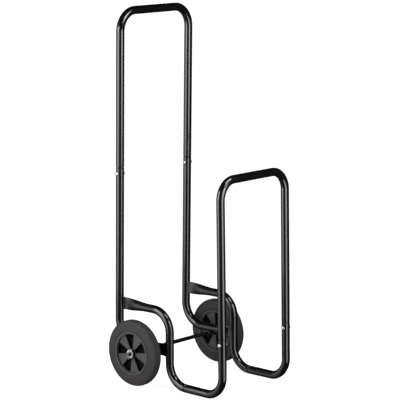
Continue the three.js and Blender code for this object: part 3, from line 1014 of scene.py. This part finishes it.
    def axle_weld(self, side: Side) -> None:
        """Two rippled beads that hold the axle under a rear post's lower run.

        Args:
            side: Which side of the cart.
        """
        for place, sign in (("inner", -1), ("outer", 1)):
            x = side.value * (self.rear_x + sign * (self.radius - self.axle_bead_inset))
            middle = (0, self.axle_radius)
            outline = arc(middle, self.axle_bead, -90, 270, self.weld_sides)[:-1]
            steps = self.axle_ripple_steps * self.axle_ripples
            mesh = turned(outline, steps, closed=True)
            for vert in mesh.verts:
                angle = math.atan2(vert.co.z, vert.co.y)
                wave = (1 + math.cos(self.axle_ripples * angle)) / 2
                vert.co -= vert.normal * self.axle_ripple_depth * wave
            move(mesh, self.axle + Vector((x, 0, 0)))
            Piece(f"axle_weld_{place}_{side.label}", Body.FRAME, POWDER_COAT).place(mesh)

    def build(self) -> None:
        """Builds the frame's tubes and welds."""
        self.hoop("handle_hoop", self.rear_x, self.rear_seam, self.handle_bend, self.rear_y)
        self.hoop("front_hoop", self.front_x, self.front_seam, self.front_bend, self.front_y)
        for side in Side:
            self.rear_post(side)
            self.side_tube(side)
            self.front_foot(side)
            self.axle_weld(side)


# ---- Joint bolts ------------------------------------------------------------------


@dataclass
class JointBolts:
    """The domed bolts and cap nuts through the hoops' push joints."""

    tubes: TubeFrame
    drop: float = 16.3 * MM
    head_radius: float = 6 * MM
    head_rim: float = 0.8 * MM
    head_height: float = 3.6 * MM
    shank_radius: float = 3 * MM
    head_gap: float = 0.2 * MM  # between the tube and a head or nut
    socket_radius: float = 1.6 * MM
    socket_rim: float = 1.3  # its round rim's radius over that of its flats
    socket_depth: float = 0.9 * MM
    nut_flats: float = 10 * MM
    hexagon_height: float = 3.3 * MM
    dome_radius: float = 4.6 * MM
    dome_height: float = 2.7 * MM
    dome_steps: int = 8
    cap_steps: int = 9
    cap_sink: float = 0.2 * MM  # how far the nut's dome goes into its hexagon
    bolt_edge: float = 0.15 * MM
    nut_edge: float = 0.35 * MM
    steps: int = 48

    def bolt(self, name: str, centre: Vector) -> None:
        """A bolt with its domed head towards -X and a hexagon socket in it.

        Args:
            name: The frame node it stands for.
            centre: Where its axis meets the tube's centreline.
        """
        seat = -self.tubes.radius - self.head_gap
        rim = seat - self.head_rim
        top = seat - self.head_height
        mouth = self.socket_radius * self.socket_rim
        dome = [
            (rim + (top - rim) * math.cos(angle), self.head_radius * math.sin(angle))
            for angle in quarter_turn(self.dome_steps)
        ]
        dome = [point for point in dome if point[1] > mouth]
        profile = [(top, mouth), *dome, (seat, self.head_radius)]
        profile += [(seat, self.shank_radius), (self.tubes.radius, self.shank_radius)]
        profile += [(self.tubes.radius, 0.0)]
        mesh = turned(profile, self.steps)
        made = bmesh.ops.extrude_edge_only(mesh, edges=rims(mesh))
        inner = verts_in(made["geom"])
        for vert in inner:
            angle = math.atan2(vert.co.z, vert.co.y) % (math.pi / 3) - math.pi / 6
            reach = self.socket_radius / math.cos(angle)
            flat = Vector((0, vert.co.y, vert.co.z)).normalized() * reach
            vert.co = Vector((top, flat.y, flat.z))
        ring = set(inner)
        edges = [e for e in rims(mesh) if all(v in ring for v in e.verts)]
        made = bmesh.ops.extrude_edge_only(mesh, edges=edges)
        floor = verts_in(made["geom"])
        bmesh.ops.translate(mesh, verts=floor, vec=(self.socket_depth, 0, 0))
        bmesh.ops.holes_fill(mesh, edges=rims(mesh), sides=0)
        close_up(mesh)
        round_edges(mesh, self.bolt_edge, angle=math.radians(50))
        move(mesh, centre)
        Piece(name, Body.FRAME, ZINC_PLATE, (name,)).place(mesh)

    def nut(self, name: str, centre: Vector) -> None:
        """A cap nut, its dome towards +X.

        Args:
            name: The frame node it stands for.
            centre: Where its axis meets the tube's centreline.
        """
        seat = self.tubes.radius + self.head_gap
        mesh = bmesh.new()
        corner = self.nut_flats / 2 / math.cos(math.pi / 6)
        square = Z_AXIS.rotation_difference(X_AXIS).to_matrix().to_4x4()
        base = Matrix.Translation((seat + self.hexagon_height / 2, 0, 0)) @ square
        bmesh.ops.create_cone(
            mesh,
            cap_ends=True,
            cap_tris=False,
            segments=6,
            radius1=corner,
            radius2=corner,
            depth=self.hexagon_height,
            matrix=base,
        )
        round_edges(mesh, self.nut_edge, angle=math.radians(30), segments=3)
        end = seat + self.hexagon_height - self.cap_sink
        dome = [
            (end + self.dome_height * math.sin(angle), self.dome_radius * math.cos(angle))
            for angle in quarter_turn(self.cap_steps)[:-1]
        ]
        cap = turned([(end, 0.0), *dome, (end + self.dome_height, 0.0)], self.steps)
        data = mesh_data("cap", cap)
        mesh.from_mesh(data)
        bpy.data.meshes.remove(data)
        move(mesh, centre)
        Piece(name, Body.FRAME, ZINC_PLATE, (name,)).place(mesh)

    def build(self) -> None:
        """Builds the four bolts and their nuts."""
        tubes = self.tubes
        places = (
            ("rear", tubes.rear_x, tubes.rear_seam, tubes.rear_y),
            ("front", tubes.front_x, tubes.front_seam, tubes.front_y),
        )
        for side in Side:
            for place, x, seam, y_at in places:
                height = seam - self.drop
                centre = Vector((side.value * x, y_at(height), height))
                self.bolt(f"joint_bolt_{place}_{side.label}", centre)
                self.nut(f"cap_nut_{place}_{side.label}", centre)


# ---- Axle -------------------------------------------------------------------------


@dataclass
class AxleSet:
    """The axle, its washers, spacers and split pins."""

    axle: Vector
    chamfer: float = 1 * MM
    bore_play: float = 0.35 * MM
    ring_edge: float = 0.8 * MM
    ring_edge_steps: int = 3
    fit: float = 0.3 * MM
    wire: float = 0.75 * MM
    pin_length: float = 22 * MM
    pin_eye: float = 4.15 * MM
    pin_mouth: float = math.radians(32)
    pin_spread: float = 5.5 * MM  # how far each leg's tip is bent out
    pin_lean: float = math.radians(28)
    pin_sides: int = 12
    knee_steps: int = 10
    neck_steps: int = 8
    eye_steps: int = 36
    steps: int = 64

    def _between(self, name: str) -> tuple[float, float, float]:
        """A frame node's two X limits and its radius."""
        low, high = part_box(name)
        return low.x, high.x, (high.z - low.z) / 2

    def rod(self) -> None:
        """The axle, chamfered at both ends."""
        low, high, radius = self._between("axle_rod")
        inner = radius - self.chamfer
        profile = [
            (low, 0.0),
            (low, inner),
            (low + self.chamfer, radius),
            (high - self.chamfer, radius),
            (high, inner),
            (high, 0.0),
        ]
        mesh = turned(profile, self.steps)
        move(mesh, (0, self.axle.y, self.axle.z))
        name = "axle_rod"
        Piece(name, Body.FRAME, POWDER_COAT, (name,), sharp_angle=math.radians(20)).place(mesh)

    def ring(self, name: str, finish: Finish) -> None:
        """A washer or spacer where its node is.

        Args:
            name: The frame node it stands for.
            finish: What it is made of.
        """
        low, high, radius = self._between(name)
        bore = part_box("axle_rod")[1].z - self.axle.z + self.bore_play
        profile = [(low, bore), (low, radius), (high, radius), (high, bore)]
        mesh = turned(profile, self.steps, closed=True)
        round_edges(mesh, self.ring_edge, segments=self.ring_edge_steps)
        move(mesh, (0, self.axle.y, self.axle.z))
        Piece(name, Body.FRAME, finish, (name,)).place(mesh)

    def split_pin(self, side: Side) -> None:
        """A split pin in a plane square to the axle: eye above, legs spread below.

        Args:
            side: Which side of the cart.
        """
        name = f"split_pin_{side.label}"
        low, high, _ = self._between(name)
        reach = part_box("axle_rod")[1].z - self.axle.z + self.fit
        offset = self.wire + self.fit / 2
        below = -reach - 2 * self.wire
        drop = below - (reach - self.pin_length)
        spread = 2 * math.atan(self.pin_spread / drop)
        knee = drop / math.sin(spread)
        neck = (self.pin_eye * math.sin(self.pin_mouth) - offset) / (1 - math.sin(self.pin_mouth))
        turn_out = math.pi / 2 - self.pin_mouth
        eye = reach + self.wire + self.pin_eye
        shank = eye - self.pin_eye * math.cos(self.pin_mouth) - neck * math.sin(turn_out) - below
        start = Vector((0, -offset - self.pin_spread, below - drop))
        heading = Vector((0, math.sin(spread), math.cos(spread)))
        shaper = TubeShaper(start, heading, self.wire, self.pin_sides)
        left, right = -Y_AXIS, Y_AXIS
        shaper.bend(left, spread, knee, self.knee_steps)
        shaper.straight(shank)
        shaper.bend(left, turn_out, neck, self.neck_steps)
        shaper.bend(right, 2 * (math.pi - self.pin_mouth), self.pin_eye, self.eye_steps)
        shaper.bend(right, turn_out, neck, self.neck_steps)
        shaper.straight(shank)
        shaper.bend(right, spread, knee, self.knee_steps)
        mesh = shaper.mesh
        bmesh.ops.holes_fill(mesh, edges=rims(mesh), sides=0)
        bmesh.ops.recalc_face_normals(mesh, faces=mesh.faces)
        turn(mesh, self.pin_lean, X_AXIS, (0, 0, 0))
        move(mesh, ((low + high) / 2, self.axle.y, self.axle.z))
        Piece(name, Body.FRAME, ZINC_PLATE, (name,)).place(mesh)

    def build(self) -> None:
        """Builds the axle and what is on it."""
        self.rod()
        for side in Side:
            self.ring(f"outer_washer_{side.label}", ZINC_PLATE)
            # painted shade: the inner washers take the dark copy of the zinc
            self.ring(f"inner_washer_{side.label}", SHADED_ZINC)
            self.ring(f"axle_spacer_{side.label}", POWDER_COAT)
            self.split_pin(side)


# ---- Wheel ------------------------------------------------------------------------


@dataclass
class Wheel:
    """A solid-tyred wheel about the axle."""

    side: Side
    turned_by: float
    tyre_half: float = 15.5 * MM
    bore: float = 66 * MM
    shoulder: float = 11.5 * MM
    crease_angle: float = 34.0  # degrees round the shoulder to the mould's line
    crease_depth: float = 1.3 * MM
    shoulder_rings: range = range(37, 91, 5)  # degrees of the shoulder's rings past that line
    flank_steps: int = 8
    land: float = 0.45  # a moulded ring's flat over its full width
    seat_groove: float = 69 * MM  # moulded line between the rim and the raised ring
    seat_groove_half: float = 0.9 * MM
    seat_groove_depth: float = 0.8 * MM
    ring_radius: float = 73 * MM
    ring_height: float = 0.8 * MM
    ring_half: float = 2.5 * MM
    groove_half: float = 0.8 * MM
    groove_depth: float = 1.2 * MM
    groove_angles: tuple[float, ...] = (57.0, 80.0)  # degrees round the shoulder
    tyre_edge: float = 0.15 * MM
    rim_gap: float = 0.1 * MM  # between the rim and the tyre's bore
    rim_lip: float = 0.7 * MM
    opening: float = 60 * MM
    dish_depth: float = 5.2 * MM
    dish_slope: float = 0.6 * MM
    boss_radius: float = 13 * MM
    boss_half: float = 18.5 * MM
    axle_bore: float = 6.35 * MM
    spokes: int = 5
    pocket_inner: float = 14.5 * MM
    pocket_outer: float = 58.5 * MM
    pocket_half: float = math.radians(18)
    web_half: float = 1.5 * MM
    pocket_corner: float = 2.2 * MM
    pocket_corner_steps: int = 4
    boss_shade: float = 0.3 * MM  # how far the boss's black runs out on to the face
    edge: float = 0.5 * MM
    tyre_steps: int = 180
    hub_steps: int = 240

    def _flank(self, radius: float) -> Profile:
        """The tyre's outline on its +X side, from the bore to the tread's middle groove.

        Args:
            radius: The tyre's own radius.

        Returns:
            The points.
        """
        half, ring = self.tyre_half, self.ring_radius
        swell = ring + self.ring_half
        centre = (half - self.shoulder, radius - self.shoulder)
        crease = arc(centre, self.shoulder, self.crease_angle, self.crease_angle, 1)[0]
        drop = half - crease[0] + self.crease_depth
        tilt = 2 * math.atan(drop / (crease[1] - swell))
        bulge = (crease[1] - swell) / math.sin(tilt)
        points = [(half, self.bore)]
        for out, low, raised in (
            (self.seat_groove, self.seat_groove_half, -self.seat_groove_depth),
            (ring, self.ring_half, self.ring_height),
        ):
            points += [
                (half, out - low),
                (half + raised, out - low * self.land),
                (half + raised, out + low * self.land),
                (half, out + low),
            ]
        points += arc((half - bulge, swell), bulge, 0, math.degrees(tilt), self.flank_steps)[1:]
        width = math.degrees(self.groove_half / self.shoulder)
        marks = [(angle, 0.0) for angle in self.shoulder_rings]
        for middle in self.groove_angles:
            marks = [(a, d) for a, d in marks if abs(a - middle) > width + 1]
            marks += [(middle + way * width, 0.0) for way in (-1, 1)]
            marks += [(middle + way * width / 2, self.groove_depth) for way in (-1, 1)]
        for angle, depth in sorted(marks):
            points += arc(centre, self.shoulder - depth, angle, angle, 1)[:1]
        points += [(centre[0], radius), (self.groove_half, radius)]
        return [*points, (self.groove_half / 2, radius - self.groove_depth)]

    def tyre(self) -> None:
        """The solid tyre: rounded shoulders, raised rings, mould lines and tread grooves."""
        name = f"tyre_{self.side.label}"
        low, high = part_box(name)
        flank = self._flank((high.z - low.z) / 2)
        mirrored = [(-x, out) for x, out in flank]
        mesh = turned(mirrored + flank[::-1], self.tyre_steps, closed=True)
        round_edges(mesh, self.tyre_edge, angle=math.radians(35))
        move(mesh, (low + high) / 2)
        body = Body.wheel(self.side)
        Piece(name, body, RUBBER, (name,), sharp_angle=math.radians(50)).place(mesh)

    def hub(self) -> None:
        """The moulded centre: boss, spokes with blind pockets between, rim."""
        name = f"wheel_hub_{self.side.label}"
        low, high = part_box(name)
        edge_x = self.tyre_half + self.rim_lip
        face = self.tyre_half - self.dish_depth
        rim = self.bore - self.rim_gap
        half = [
            (edge_x, rim),
            (edge_x, self.opening + self.dish_slope),
            (face, self.opening),
            (face, self.pocket_outer),
            (face, self.pocket_inner),
            (face, self.boss_radius),
            (self.boss_half, self.boss_radius),
            (self.boss_half, self.axle_bore),
        ]
        mirrored = [(-x, r) for x, r in half][::-1]
        mesh = turned(mirrored + half, self.hub_steps, closed=True)
        for sign in (-1, 1):
            self._pockets(mesh, sign, sign * face)
        round_edges(mesh, self.edge, angle=math.radians(50))
        # The boss and the pockets take the matt black; in the pockets it is painted shade.
        for poly in mesh.faces:
            middle = poly.calc_center_median()
            on_boss = math.hypot(middle.y, middle.z) < self.boss_radius + self.boss_shade
            in_pocket = abs(middle.x) < face - self.edge
            poly.material_index = int(on_boss or in_pocket)
        turn(mesh, self.turned_by, X_AXIS, (0, 0, 0))
        move(mesh, (low + high) / 2)
        body = Body.wheel(self.side)
        Piece(name, body, HUB_PLASTIC, (name,), extra_finishes=(BOSS_BLACK_AND_POCKET_SHADE,)).place(mesh)

    def _pockets(self, mesh: bmesh.types.BMesh, sign: int, face: float) -> None:
        """Sinks the pockets into one face of the hub.

        Args:
            mesh: The turned hub, a pocket's middle at +Y.
            sign: Which face.
            face: The face's X.
        """
        for i in range(self.spokes):
            middle = i * 2 * math.pi / self.spokes
            picked = []
            for poly in mesh.faces:
                centre = poly.calc_center_median()
                out = math.hypot(centre.y, centre.z)
                away = (math.atan2(centre.z, centre.y) - middle + math.pi) % (2 * math.pi) - math.pi
                if (
                    abs(centre.x - face) < NEAR
                    and self.pocket_inner < out < self.pocket_outer
                    and abs(away) < self.pocket_half
                ):
                    picked.append(poly)
            flat = bmesh.ops.dissolve_faces(mesh, faces=picked, use_verts=False)["region"]
            floor = bmesh.ops.extrude_discrete_faces(mesh, faces=flat)["faces"][0]
            depth = abs(face) - self.web_half
            bmesh.ops.translate(mesh, verts=floor.verts, vec=(-sign * depth, 0, 0))
            corners = [
                e
                for v in floor.verts
                for e in v.link_edges
                if e not in floor.edges and e.calc_face_angle(0.0) > math.radians(45)
            ]
            bmesh.ops.bevel(
                mesh,
                geom=corners,
                offset=self.pocket_corner,
                segments=self.pocket_corner_steps,
                profile=0.5,
                affect="EDGES",
                material=-1,
            )

    def build(self) -> None:
        """Builds the tyre and the hub."""
        self.tyre()
        self.hub()


# ---- Studio -----------------------------------------------------------------------


@dataclass(frozen=True)
class Softbox:
    """A soft lamp round the cart, as bright or brighter at its top than at its foot.

    Attributes:
        name: The lamp's name.
        centre: Its middle, in metres.
        azimuth: The way it faces, degrees from +X towards +Y.
        elevation: How far it is tipped up from level, in degrees.
        width: Its width.
        height: Its height.
        top: Radiance at its top edge.
        foot: Radiance at its bottom edge.
        rise: Power of the height by which the radiance rises.
        gloss: Whether gloss shows it.
    """

    name: str
    centre: tuple[float, float, float]
    azimuth: float
    elevation: float
    width: float
    height: float
    top: float
    foot: float
    rise: float = 1.0
    gloss: bool = True

    def stand(self) -> None:
        """Puts the lamp in its place."""
        a, e = math.radians(self.azimuth), math.radians(self.elevation)
        facing = Vector((math.cos(a) * math.cos(e), math.sin(a) * math.cos(e), math.sin(e)))
        lamp = bpy.data.lights.new(self.name, "AREA")
        lamp.shape = "RECTANGLE"
        lamp.size, lamp.size_y = self.width, self.height
        lamp.energy = math.pi * self.width * self.height
        tree = empty_tree(lamp)
        across = add_node(tree, "ShaderNodeNewGeometry").outputs["Parametric"]
        part = add_node(tree, "ShaderNodeSeparateXYZ", {"Vector": across})
        rise = add_node(
            tree, "ShaderNodeMath", {0: part.outputs["Y"], 1: self.rise}, operation="POWER"
        )
        level = add_node(
            tree,
            "ShaderNodeMapRange",
            {"Value": rise.outputs["Value"], "To Min": self.foot, "To Max": self.top},
        )
        glow = add_node(tree, "ShaderNodeEmission", {"Strength": level.outputs["Result"]})
        add_node(tree, "ShaderNodeOutputLight", {"Surface": glow.outputs[0]})
        made = put(self.name, lamp)
        made.location = self.centre
        made.rotation_euler = (-facing).to_track_quat("Z", "Y").to_euler()
        made.visible_glossy = self.gloss


@dataclass
class Studio:
    """The white studio: floor, soft lamps, the walls that gloss reflects, and the camera."""

    floor_size: float = 90.0
    floor_shades: tuple[str, str] = ("f4f4f4", "fafafa")
    floor_patch: float = 0.4  # size of the paper's faint clouds
    floor_lift: float = 0.78  # white that the paper floor keeps in its shadows
    floor_near: float = 0.6  # metres out, where the sweep starts to run to plain white
    floor_far: float = 2.2
    ambient: float = 0.12
    softboxes: tuple[Softbox, ...] = (
        Softbox(
            "side_softbox",
            centre=(-1.235, 0.41, 0.7),
            azimuth=-14.3,
            elevation=0,
            width=0.93,
            height=1.4,
            top=5.1,
            foot=1.0,
        ),
        Softbox(
            "front_softbox",
            centre=(-0.1, -0.92, 0.35),
            azimuth=90,
            elevation=0,
            width=0.5,
            height=1.3,
            top=7.4,
            foot=2.3,
            rise=2.2,
        ),
        Softbox(
            "boom_softbox",
            centre=(0.0, -0.68, 1.51),
            azimuth=90,
            elevation=-42,
            width=0.6,
            height=0.5,
            top=7.0,
            foot=7.0,
        ),
        Softbox(
            "wheel_fill",
            centre=(-0.75, 0.35, 0.45),
            azimuth=-28,
            elevation=-25,
            width=0.3,
            height=0.3,
            top=4.0,
            foot=4.0,
            gloss=False,
        ),
    )
    # Level of the studio's walls by azimuth, degrees from +X towards +Y.
    walls: Stops = (
        (-180, 0.04),
        (-50, 0.02),
        (58, 0.02),
        (80, 0.06),
        (100, 0.15),
        (112, 0.4),
        (125, 0.85),
        (135, 0.9),
        (170, 0.9),
        (177, 0.04),
        (180, 0.04),
    )
    # How much of that level is left by the rise of the way it is seen: the ceiling is dark,
    # and the floor darkens towards the cart's own foot.
    heights: Stops = (
        (-1.0, 0.15),
        (-0.5, 0.25),
        (-0.15, 0.95),
        (0.1, 1.0),
        (0.25, 0.6),
        (0.45, 0.2),
        (0.7, 0.03),
        (1.0, 0.03),
    )
    camera_azimuth: float = -47.752  # degrees from -Y towards +X
    camera_elevation: float = 10.205
    camera_distance: float = 5.7192
    camera_target: tuple[float, float, float] = (0.02886, 0.03855, 0.54278)
    focal_pixels: float = 1903.9
    image_pixels: float = 400.0
    sensor: float = 36.0
    view_reach: float = 100.0

    def camera(self) -> None:
        """Sets the camera at the photograph's angle."""
        a, e = math.radians(self.camera_azimuth), math.radians(self.camera_elevation)
        back = Vector((math.sin(a) * math.cos(e), -math.cos(a) * math.cos(e), math.sin(e)))
        lens = bpy.data.cameras.new("photo_camera")
        lens.sensor_width = self.sensor
        lens.lens = self.sensor * self.focal_pixels / self.image_pixels
        lens.clip_end = self.view_reach
        made = put("photo_camera", lens)
        made.location = Vector(self.camera_target) + back * self.camera_distance
        made.rotation_euler = back.to_track_quat("Z", "Y").to_euler()
        bpy.context.scene.camera = made

    def lamps(self) -> None:
        """Stands the soft lamps round the cart."""
        for lamp in self.softboxes:
            lamp.stand()

    def world(self) -> None:
        """White to the camera; to gloss, the walls as the lamps light them."""
        world = bpy.data.worlds.new("white_studio")
        tree = empty_tree(world)
        way = add_node(tree, "ShaderNodeTexCoord").outputs["Generated"]
        part = add_node(tree, "ShaderNodeSeparateXYZ", {"Vector": way})
        azimuth = add_node(
            tree,
            "ShaderNodeMath",
            {0: part.outputs["Y"], 1: part.outputs["X"]},
            operation="ARCTAN2",
        )
        turn_stops = tuple((math.radians(angle), level) for angle, level in self.walls)
        gloss = add_node(
            tree,
            "ShaderNodeBackground",
            {
                "Color": add_ramp(tree, azimuth.outputs["Value"], turn_stops),
                "Strength": add_ramp(tree, part.outputs["Z"], self.heights),
            },
        )
        soft = add_node(
            tree, "ShaderNodeBackground", {"Color": linear("ffffff"), "Strength": self.ambient}
        )
        white = add_node(tree, "ShaderNodeBackground", {"Color": linear("ffffff"), "Strength": 1.0})
        ray = add_node(tree, "ShaderNodeLightPath")
        seen = add_node(
            tree,
            "ShaderNodeMath",
            {0: ray.outputs["Is Camera Ray"], 1: ray.outputs["Is Transmission Ray"]},
            operation="MAXIMUM",
        )
        first = add_node(
            tree,
            "ShaderNodeMixShader",
            {0: ray.outputs["Is Glossy Ray"], 1: soft.outputs[0], 2: gloss.outputs[0]},
        )
        both = add_node(
            tree,
            "ShaderNodeMixShader",
            {0: seen.outputs["Value"], 1: first.outputs[0], 2: white.outputs[0]},
        )
        add_node(tree, "ShaderNodeOutputWorld", {"Surface": both.outputs[0]})
        world.cycles.sampling_method = "NONE"
        bpy.context.scene.world = world

    def floor(self) -> None:
        """Lays the pale paper floor."""
        mesh = bmesh.new()
        bmesh.ops.create_grid(mesh, x_segments=1, y_segments=1, size=self.floor_size / 2)
        data = mesh_data("paper_floor", mesh)
        paper = bpy.data.materials.new("white_paper")
        tree = empty_tree(paper)
        ray = add_node(tree, "ShaderNodeLightPath")
        place = add_node(tree, "ShaderNodeTexCoord").outputs["Object"]
        shade = add_clouds(tree, self.floor_patch, 2.0, self.floor_shades)[1]
        out = add_node(tree, "ShaderNodeVectorMath", {0: place}, operation="LENGTH")
        sweep = add_node(
            tree,
            "ShaderNodeMapRange",
            {
                "Value": out.outputs["Value"],
                "From Min": self.floor_near,
                "From Max": self.floor_far,
                "To Min": self.floor_lift,
                "To Max": 1.0,
            },
            interpolation_type="SMOOTHSTEP",
        )
        lift = add_node(
            tree,
            "ShaderNodeMath",
            {0: ray.outputs["Is Camera Ray"], 1: sweep.outputs["Result"]},
            operation="MULTIPLY",
        )
        glow = add_node(
            tree, "ShaderNodeEmission", {"Color": linear("ffffff"), "Strength": lift.outputs[0]}
        )
        matt = add_node(tree, "ShaderNodeBsdfDiffuse", {"Color": shade})
        both = add_node(tree, "ShaderNodeAddShader", {0: matt.outputs[0], 1: glow.outputs[0]})
        add_node(tree, "ShaderNodeOutputMaterial", {"Surface": both.outputs[0]})
        data.materials.append(paper)
        made = put("paper_floor", data)
        made.visible_glossy = False

    def build(self) -> None:
        """Builds the studio."""
        bpy.context.scene.view_settings.view_transform = "Standard"
        self.camera()
        self.lamps()
        self.world()
        self.floor()


def main() -> None:
    """Builds the studio and the cart."""
    logging.basicConfig(level=logging.INFO, format="%(name)s: %(message)s")
    Studio().build()
    tubes = TubeFrame()
    tubes.build()
    JointBolts(tubes).build()
    AxleSet(tubes.axle).build()
    for side, rolled in zip(Side, WHEEL_TURNS):
        Wheel(side, math.radians(rolled)).build()


if __name__ == "__main__":
    main()
